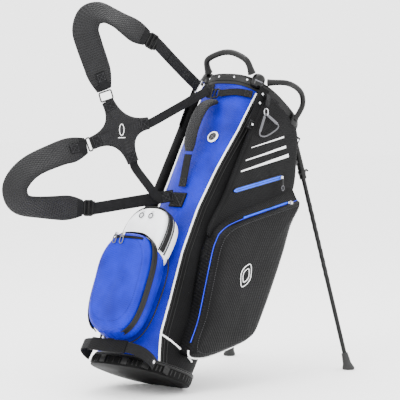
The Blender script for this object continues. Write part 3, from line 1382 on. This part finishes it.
def shoulder_pad(name, course, outward, seed):
    """A padded strip in an open loop, with piped edges, a channel of stitches and sewn ends."""
    path = smooth_path([(s, tilt, h) for (s, h), tilt in course], 14)
    tilts = [math.radians(point.y) for point in path]
    path = [Vector((point.x, 0.0, point.z)) for point in path]
    last = len(path) - 1
    runs = [0.0]
    for a, b in zip(path, path[1:]):
        runs.append(runs[-1] + (b - a).length)
    total = runs[-1]
    axes = []
    for i in range(last + 1):
        way = heading(path, i).normalized()
        out = way.cross(Vector((0, 1, 0))) * outward
        side = Vector((0, 1, 0)) * math.cos(tilts[i]) - out * math.sin(tilts[i])
        axes.append((side, out * math.cos(tilts[i]) + Vector((0, 1, 0)) * math.sin(tilts[i])))

    def spot(a, across, out):
        a = min(max(a, 0.0), total)
        i = next((k for k in range(last) if runs[k + 1] >= a), last - 1)
        f = (a - runs[i]) / max(runs[i + 1] - runs[i], 1e-9)
        point = path[i].lerp(path[i + 1], f)
        side, face = axes[i][0].lerp(axes[i + 1][0], f).normalized(), axes[i][1].lerp(axes[i + 1][1], f).normalized()
        end = min(a, total - a)
        half = PAD_WIDTH / 2 * (0.56 + 0.44 * math.sin(min(end / 0.060, 1.0) * math.pi / 2))
        thick = PAD_THICK / 2 * (0.45 + 0.55 * math.sin(min(end / 0.022, 1.0) * math.pi / 2))
        puff = 1.0 + 0.10 * noise.noise(Vector((a * 26, across * 1.5, seed))) if abs(out) > 0.5 else 1.0
        return point + side * across * half + face * out * thick * puff

    ring = []
    for k in range(40):
        a = 2 * math.pi * k / 40
        c, s = math.cos(a), math.sin(a)
        across = bent(c, 0.55)
        out = bent(s, 0.62)
        if 0.80 < abs(across) < 0.93:
            out *= 0.80
        ring.append((across, out))
    rows = [[spot(total * i / 120, b, c) for b, c in ring] for i in range(121)]
    pad = piece(
        name, skin(rows, wrap=True, capped=True), "bag", HEX, HARNESS, levels=1, sharp=80, replaces=name,
    )
    for k, across in enumerate((-1.0, 1.0)):
        edge = [spot(total * (i + 0.5) / 121, across * 0.985, 0.0) for i in range(121)]
        piece(f"{name}_binding_{k}", sweep(edge, 0.0020, 8), "bag", PIPING_BLACK, HARNESS)
        for face, label in ((1, "front"), (-1, "back")):
            line = [spot(total * (i + 2) / 124, across * 0.865, face * 0.90) for i in range(121)]
            outs = [(spot(
                total * (i + 2) / 124, across * 0.865, face * 1.5,
            ) - line[i]).normalized() for i in range(121)]
            piece(f"{name}_seam_{label}_{k}", stitches(
                line, outs, 0.0062, 0.0040, 0.00045,
            ), "bag", SEAM_THREAD, HARNESS)
    for end, near, far in (("start", 0.0, 0.019), ("end", total, total - 0.019)):
        cap_rows = [[spot(
            near + (far - near) * i / 8, b * 1.02, c * 1.10 + math.copysign(0.12, c),
        ) for b, c in ring] for i in range(9)]
        piece(f"{name}_cap_{end}", skin(
            cap_rows, wrap=True, capped=True,
        ), "bag", WEB, HARNESS, levels=1, sharp=80)
    return path[-1], (path[-1] - path[-2]).normalized(), spot


upper_tip, upper_way, upper_spot = shoulder_pad("shoulder_pad_upper", UPPER_PAD, -1, 1)
lower_tip, lower_way, lower_spot = shoulder_pad("shoulder_pad_lower", LOWER_PAD, 1, 2)
UPPER_START, LOWER_START = Vector(UPPER_PAD[0][0]), Vector(LOWER_PAD[0][0])
# a short web sewn down at the yoke end of each pad
for name, spot in (("upper", upper_spot), ("lower", lower_spot)):
    line = [spot(0.006 + 0.044 * i / 16, 0.0, 1.0) for i in range(17)]
    outs = [(spot(0.006 + 0.044 * i / 16, 0.0, 2.0) - line[i]).normalized() for i in range(17)]
    strap_piece(f"pad_{name}_keeper", [
        p + o * 0.0012
        for p, o in zip(line, outs)
    ], outs, 0.026, matrix=HARNESS, thick=0.0020, ends=(1,))

ARMS = (((0.268, 0.110), 0.032), ((0.313, 0.000), 0.032), ((0.194, -0.053), 0.030), ((0.149, 0.050), 0.030))
YOKE_CENTRE = Vector((0.230, 0.034))
YOKE_THICK = 0.007
points = []
for i, (tip, width) in enumerate(ARMS):
    tip, following = Vector(tip), Vector(ARMS[(i + 1) % 4][0])
    way, turn = (tip - YOKE_CENTRE).normalized(), (following - YOKE_CENTRE).normalized()
    first, last = Vector((-way.y, way.x)) * width / 2, Vector((-turn.y, turn.x)) * ARMS[(i + 1) % 4][1] / 2
    for f in (0.0, 0.04, 0.5, 0.96):
        points.append((tip + first).lerp(tip - first, f))
    start, end, hollow = tip - first, following + last, YOKE_CENTRE + (way + turn).normalized() * 0.022
    for k in range(14):
        f = k / 14
        points.append(start * (1 - f) ** 2 + hollow * 2 * f * (1 - f) + end * f ** 2)


def yoke_ring(shrink, depth):
    return [Vector((
        YOKE_CENTRE.x + (p.x - YOKE_CENTRE.x) * shrink, depth,
        YOKE_CENTRE.y + (p.y - YOKE_CENTRE.y) * shrink,
    )) for p in points]


half = YOKE_THICK / 2
layers = (
    (0.12, -half * 1.25), (0.45, -half * 1.22), (0.80, -half * 1.10), (0.95, -half), (0.988, -half * 0.7),
    (1.0, -half * 0.25), (1.0, half * 0.25), (0.988, half * 0.7), (0.95, half), (0.80, half * 1.25),
    (0.55, half * 1.50), (0.30, half * 1.62), (0.12, half * 1.66),
)
yoke = piece("yoke_pad", skin(
    [yoke_ring(s, d) for s, d in layers], wrap=True, capped=True,
), "bag", HEX, HARNESS, levels=1, sharp=80, replaces="yoke_pad")
piece("yoke_binding", sweep(yoke_ring(0.999, 0.0), 0.0019, 8, closed=True), "bag", PIPING_BLACK, HARNESS)
yoke_tree = tree(yoke)
FACE_IN = HARNESS.to_3x3() @ Vector((0, -1, 0))
line = [HARNESS @ (p + Vector((0, 0.1, 0))) for p in yoke_ring(0.905, 0.0)]
places, normals = on_surface(yoke_tree, line + line[:1], FACE_IN, 0.0002)
piece("yoke_seam", stitches(places, normals, 0.0060, 0.0038, 0.0004), "bag", SEAM_THREAD)
# each arm ends in a sewn cuff of webbing that the strap or ring passes into
for k, (tip, width) in enumerate(ARMS):
    tip = Vector(tip)
    way = (tip - YOKE_CENTRE).normalized()
    centre = Vector((tip.x, 0.0, tip.y))
    inner = centre - Vector((way.x, 0.0, way.y)) * 0.026
    cuff = [inner.lerp(centre, i / 6) for i in range(7)]
    rows = []
    flat = Vector((-way.y, 0.0, way.x))
    for i, p in enumerate(cuff):
        rows.append([
            p + flat * a * width * 0.53 + Vector((0, 1, 0)) * b * (half + 0.0017)
            for a, b in PROFILE
        ])
    piece(f"yoke_cuff_{k}", skin(rows, wrap=True, capped=True), "bag", WEB, HARNESS)
    threads = []
    across = lambda d, a: inner.lerp(centre, d) + flat * a * width * 0.40 + Vector((0, half + 0.0019, 0))
    for d0, a0, d1, a1 in (
        (0.12, -1, 0.12, 1), (0.12, 1, 0.86, 1), (0.86, 1, 0.86, -1), (0.86, -1, 0.12, -1),
        (0.12, -1, 0.86, 1), (0.12, 1, 0.86, -1),
    ):
        row = [across(d0 + (d1 - d0) * i / 8, a0 + (a1 - a0) * i / 8) for i in range(9)]
        threads.append(stitches(row, Vector((0, 1, 0)), 0.0034, 0.0024, 0.0004))
    piece(f"yoke_cuff_stitches_{k}", merge(*threads), "bag", THREAD, HARNESS)
# a small plain mark: one leaf-shaped outline over a short bar
leaf = []
for i in range(40):
    a = 2 * math.pi * i / 40
    leaf.append(HARNESS @ (Vector((
        YOKE_CENTRE.x, 0.1, YOKE_CENTRE.y,
    )) + Vector((math.cos(a) * 0.0065, 0, math.sin(a) * 0.0150))))
places, _ = on_surface(yoke_tree, leaf, FACE_IN, 0.0004)
piece("yoke_mark", sweep(places, 0.0009, 6, closed=True), "bag", PRINT_WHITE)
line = [HARNESS @ Vector((
    YOKE_CENTRE.x - 0.010 + 0.020 * i / 12, 0.1, YOKE_CENTRE.y - 0.021,
)) for i in range(13)]
places, normals = on_surface(yoke_tree, line, FACE_IN, 0.0004)
piece("yoke_mark_bar", sweep(places, 0.0010, 6), "bag", PRINT_WHITE)


def loop_points(width, length, corner, count=10):
    """A rounded rectangle in x and z."""
    found = []
    for sx, sz, turn in ((1, 1, 0), (-1, 1, 90), (-1, -1, 180), (1, -1, 270)):
        for i in range(count + 1):
            a = math.radians(turn + 90 * i / count)
            found.append((
                sx * (width / 2 - corner) + corner * math.cos(a),
                sz * (length / 2 - corner) + corner * math.sin(a),
            ))
    return found


def wire_loop(name, centre, way, width, length, radius, look, corner=0.004):
    way = Vector(way).normalized()
    side = way.cross(Vector((0, 1, 0))).normalized()
    loop = [Vector(centre) + side * x + way * z for x, z in loop_points(width, length, corner)]
    piece(name, sweep(loop, radius, 12, closed=True, up=(0, 1, 0)), "bag", look, HARNESS, replaces=name)


def slotted(name, centre, way, width, face=Vector((0, 1, 0))):
    """A ladder buckle: a rounded frame with a ribbed middle bar and a lifting edge."""
    way = Vector(way).normalized()
    side = way.cross(face).normalized()
    out = side.cross(way)
    place = Matrix.Translation(centre) @ Matrix((side, out, way)).transposed().to_4x4()
    rim = sweep([
        Vector((x, 0, z))
        for x, z in loop_points(width - 0.005, 0.0235, 0.004)
    ], 0.0025, 12, closed=True, up=(0, 1, 0))
    middle = block((width - 0.006, 0.0040, 0.0056), Matrix.Identity(4), 0.0012)
    ribs = [block(
        (width - 0.012, 0.0010, 0.0008), Matrix.Translation((0, 0.0022, z)), 0.0002, 1,
    ) for z in (-0.0016, 0.0, 0.0016)]
    edge = block(
        (width - 0.008, 0.0030, 0.0042),
        Matrix.Translation((0, 0.0012, 0.0122)) @ Matrix.Rotation(0.35, 4, "X"), 0.0010,
    )
    piece(name, merge(rim, middle, edge, *ribs), "bag", PLASTIC, HARNESS @ place, replaces=name)


for name, tip, start in (("upper", ARMS[0][0], UPPER_START), ("lower", ARMS[1][0], LOWER_START)):
    a, b = Vector((tip[0], 0.0, tip[1])), Vector((start[0], 0.0, start[1]))
    wire_loop("yoke_ring_" + name, (a + b) / 2, b - a, 0.036, (b - a).length - 0.0062, 0.0021, DARK_STEEL)
for name, tip, way in (("upper", upper_tip, upper_way), ("lower", lower_tip, lower_way)):
    slotted("ladder_buckle_" + name, tip + way * 0.0155, way, 0.044)
    tongue = [tip - way * 0.004 + way * 0.038 * i / 12 + Vector((
        0, -0.0028 * math.sin(math.pi * i / 12), 0,
    )) for i in range(13)]
    piece("buckle_tongue_" + name, band(tongue, Vector((0, 1, 0)), 0.0365, 0.0022), "bag", WEB, HARNESS)


def even_normals(points, around):
    """Normals that follow a strap as it turns, from a few directions spread along it."""
    last = len(points) - 1
    found = []
    for i in range(last + 1):
        f = i / last * (len(around) - 1)
        k = min(int(f), len(around) - 2)
        found.append(around[k].lerp(around[k + 1], f - k).normalized())
    return found


OUT = Vector((0, 1, 0))
top_ring = on_harness((-0.1370, 0.074, 0.789))
web_start = upper_tip + upper_way * 0.031
pull = (top_ring - web_start).normalized()
web_end = top_ring - pull * 0.0105
near_end = upper_tip + upper_way * 0.040
path = smooth_path([
    web_start, near_end, near_end.lerp(web_end, 0.35) + Vector((0, 0, -0.0015)),
    near_end.lerp(web_end, 0.7) + Vector((0, 0, -0.0015)), web_end,
], 8)
strap_piece(
    "shoulder_web_upper", path, OUT, 0.032, matrix=HARNESS, replaces="shoulder_web_upper", ends=(1,),
)
doubled = [p + OUT * 0.0027 for p in path[14:26]]
strap_piece("shoulder_web_upper_tail", doubled, OUT, 0.030, matrix=HARNESS, ends=(1,))
wire_loop("top_ring", top_ring, pull, 0.038, 0.016, 0.0018, STEEL)
tab = smooth_path([(-0.1375, 0.0615, 0.789), (-0.1375, 0.045, 0.789), (-0.1355, 0.026, 0.790)], 6)
strap_piece("top_anchor_tab", tab, Vector((-1, 0, 0)), 0.026, replaces="top_anchor_tab", ends=(1,))
low_end, low_start, low_near = on_harness((-0.1405, 0.006, 0.446)), lower_tip + lower_way * 0.031, lower_tip + lower_way * 0.040
path = smooth_path([
    low_start, low_near, low_near.lerp(low_end, 0.35), low_near.lerp(low_end, 0.7), low_end,
], 8)
strap_piece(
    "shoulder_web_lower", path, OUT, 0.032, matrix=HARNESS, replaces="shoulder_web_lower", ends=(1,),
)
run = (low_end - low_near).normalized()
proud = run.cross(Vector((0, 0, 1)))
proud = (proud if proud.y > 0 else -proud) * (WEB_THICK + 0.0022)
arm = Vector((ARMS[2][0][0], 0, ARMS[2][0][1]))
centre = Vector((YOKE_CENTRE.x, 0, YOKE_CENTRE.y))
away = (arm - centre).normalized()
sewn = low_near.lerp(low_end, 0.80) + proud
path = smooth_path([
    arm + away * 0.0016, arm + away * 0.020,
    (arm + away * 0.020).lerp(sewn, 0.5) + Vector((0.004, 0.010, -0.002)), sewn,
    low_near.lerp(low_end, 0.95) + proud,
], 8)
strap_piece("yoke_web_lower", path, OUT, 0.024, matrix=HARNESS, replaces="yoke_web_lower", ends=(1,))
arm = Vector((ARMS[3][0][0], 0, ARMS[3][0][1]))
away = (arm - centre).normalized()
spine_out = on_harness((-1.0, 0.0, 0.0)) - on_harness((0.0, 0.0, 0.0))
glide, bend = on_harness((-0.1400, 0.010, 0.771)), on_harness((-0.1500, 0.036, 0.768))
way = (on_harness((-0.1400, -0.010, 0.774)) - glide).normalized()
path = smooth_path([
    arm + away * 0.0006, arm + away * 0.012, (arm + away * 0.012).lerp(bend, 0.5), bend,
    glide - way * 0.020, glide - way * 0.0148,
], 8)
faces = even_normals(path, [OUT, OUT, OUT, (OUT + spine_out).normalized(), spine_out, spine_out])
strap_piece("yoke_web_upper", path, faces, 0.024, matrix=HARNESS, replaces="yoke_web_upper")
slotted("tri_glide", glide, way, 0.032, face=spine_out)
tail = smooth_path([
    (-0.1400, -0.0048, 0.7732), (-0.1382, -0.014, 0.7745), (-0.1350, -0.035, 0.780),
    (-0.1280, -0.060, 0.785), (-0.1090, -0.090, 0.790),
], 8)
outs = []
for i, p in enumerate(tail):
    flow = heading(tail, i)
    out = flow.cross(Vector((0, 0, 1))).normalized()
    outs.append(out if out.x < 0 else -out)
strap_piece("yoke_anchor_web", tail, outs, 0.022, replaces="yoke_anchor_web", ends=(1,))

anchor_u = outline(math.pi, 0.445)[0] - GAP
place = Matrix.Translation((anchor_u - 0.0026, 0.0, 0.442)) @ Matrix.Rotation(math.radians(-1.3), 4, "Y")
piece("spine_anchor", block(
    (0.0042, 0.046, 0.044), place, 0.0013,
), "bag", BLACK, BAG, replaces="spine_anchor")
box = [Vector((-0.0024, a, b)) for a, b in (
    (-0.019, -0.018), (0.019, -0.018), (0.019, 0.018), (-0.019, 0.018), (-0.019, -0.018), (0.019, 0.018),
)]
line = []
for a, b in zip(box, box[1:]):
    line += [place @ a.lerp(b, i / 8) for i in range(8)]
piece("spine_anchor_stitches", stitches(
    line, Vector((-1, 0, 0)), 0.0040, 0.0027, 0.00045,
), "bag", THREAD, BAG)

# Trim on the near and far flanks: the strap down each front corner, rivets, and the hood's press studs

for side, name in ((-1, "near"), (1, "far")):
    drops = [Vector((
        -0.104 + 0.004 * i / 10, side * (0.1215 + 0.0016 * math.sin(math.pi * i / 14)),
        0.812 - 0.128 * i / 14,
    )) for i in range(15)]
    outs = [Vector((-0.42, side, 0)).normalized()] * 15
    strap_piece("corner_strap_" + name, drops, outs, 0.030, look=BLACK, thick=0.0034, ends=(1,))
    for k, (u, v, w) in enumerate((
        (-0.107, 0.1215, 0.793), (-0.105, 0.1225, 0.766), (-0.101, 0.1232, 0.700),
    )):
        piece(f"corner_rivet_{name}_{k}", rivet(
            BAG @ Vector((u, side * (v + 0.0022), w)), BAG.to_3x3() @ Vector((-0.42, side, 0)), 0.0036,
        ), "bag", STEEL)
for k, (angle, w) in enumerate(((172, 0.815), (188, 0.815), (152, 0.816), (208, 0.816))):
    a = math.radians(angle)
    u, v = outline(a, w, 0.0036)
    way = BAG.to_3x3() @ Vector((math.cos(a), math.sin(a), 0))
    piece(f"collar_stud_{k}", rivet(BAG @ Vector((u, v, rim_plane(u, 0.012))), way, 0.0034), "bag", STEEL)
# webbing loops and a rolled hem round the mouth of the tube, under the collar
hem = ring_loft((
    (0.0002, 0.0330), (0.0016, 0.0325), (0.0020, 0.0285), (0.0016, 0.0240), (0.0002, 0.0235),
), True)
piece("mouth_hem", hem, "bag", PIPING_BLACK, BAG)
for k, angle in enumerate((60, 100, 260, 300)):
    a = math.radians(angle)
    path = []
    for drop in (0.020, 0.030, 0.042, 0.054):
        u, v = outline(a, TUBE_LENGTH - drop, 0.0050 if drop < 0.05 else 0.0020)
        path.append(Vector((u, v, rim_plane(u, drop))))
    strap_piece(
        f"mouth_tab_{k}", smooth_path(path, 5), Vector((math.cos(a), math.sin(a), 0)), 0.018, ends=(1,),
    )
# the back: a hip panel between the legs, quilted in channels
rows = []
for i in range(29):
    f = 0.10 + 0.72 * i / 28
    row = []
    for k in range(31):
        a = math.radians(-33 + 66 * k / 30)
        edge = min(1.0, i / 3, (28 - i) / 3, k / 3, (30 - k) / 3)
        puff = 0.0012 + 0.0048 * max(0.0, edge) ** 0.5 * (0.72 + 0.28 * abs(math.cos(math.pi * i / 4)))
        groove = 0.0026 if 13 <= k <= 17 else 0.0
        row.append(tube_point(a, f, puff - groove * edge, 0.3))
    rows.append(row)
piece("hip_panel", skin(rows), "bag", BLACK_RIB, BAG, levels=1, thick=-0.0020)


# Floor and light


def studio():
    corners = [[Vector((-9, -9, 0)), Vector((9, -9, 0))], [Vector((-9, 9, 0)), Vector((9, 9, 0))]]
    made = bpy.data.objects.new("floor", bpy.data.meshes.new("floor"))
    bm = skin(corners)
    bm.to_mesh(made.data)
    bm.free()
    made.data.materials.append(Look("floor", (0.98, 0.98, 0.98), 0.7).made)
    SCENE.collection.objects.link(made)
    world = bpy.data.worlds.new("studio")
    world.use_nodes = True
    world.node_tree.nodes["Background"].inputs["Color"].default_value = (1.0, 1.0, 1.0, 1.0)
    world.node_tree.nodes["Background"].inputs["Strength"].default_value = 3.3
    SCENE.world = world
    for name, place, size, power in (
        ("key", RIGHT * -2.2 + BACK * 2.6 + Vector((0, 0, 2.8)), 1.6, 130.0),
        ("fill", RIGHT * 2.8 + BACK * 2.0 + Vector((0, 0, 1.6)), 2.2, 22.0),
        ("top", BACK * -0.8 + Vector((0, 0, 3.2)), 2.0, 60.0),
    ):
        light = bpy.data.lights.new(name, "AREA")
        light.size, light.energy = size, power
        lamp = bpy.data.objects.new(name, light)
        SCENE.collection.objects.link(lamp)
        turn = (TARGET - place).to_track_quat("-Z", "Y").to_matrix().to_4x4()
        lamp.matrix_world = Matrix.Translation(place) @ turn


studio()
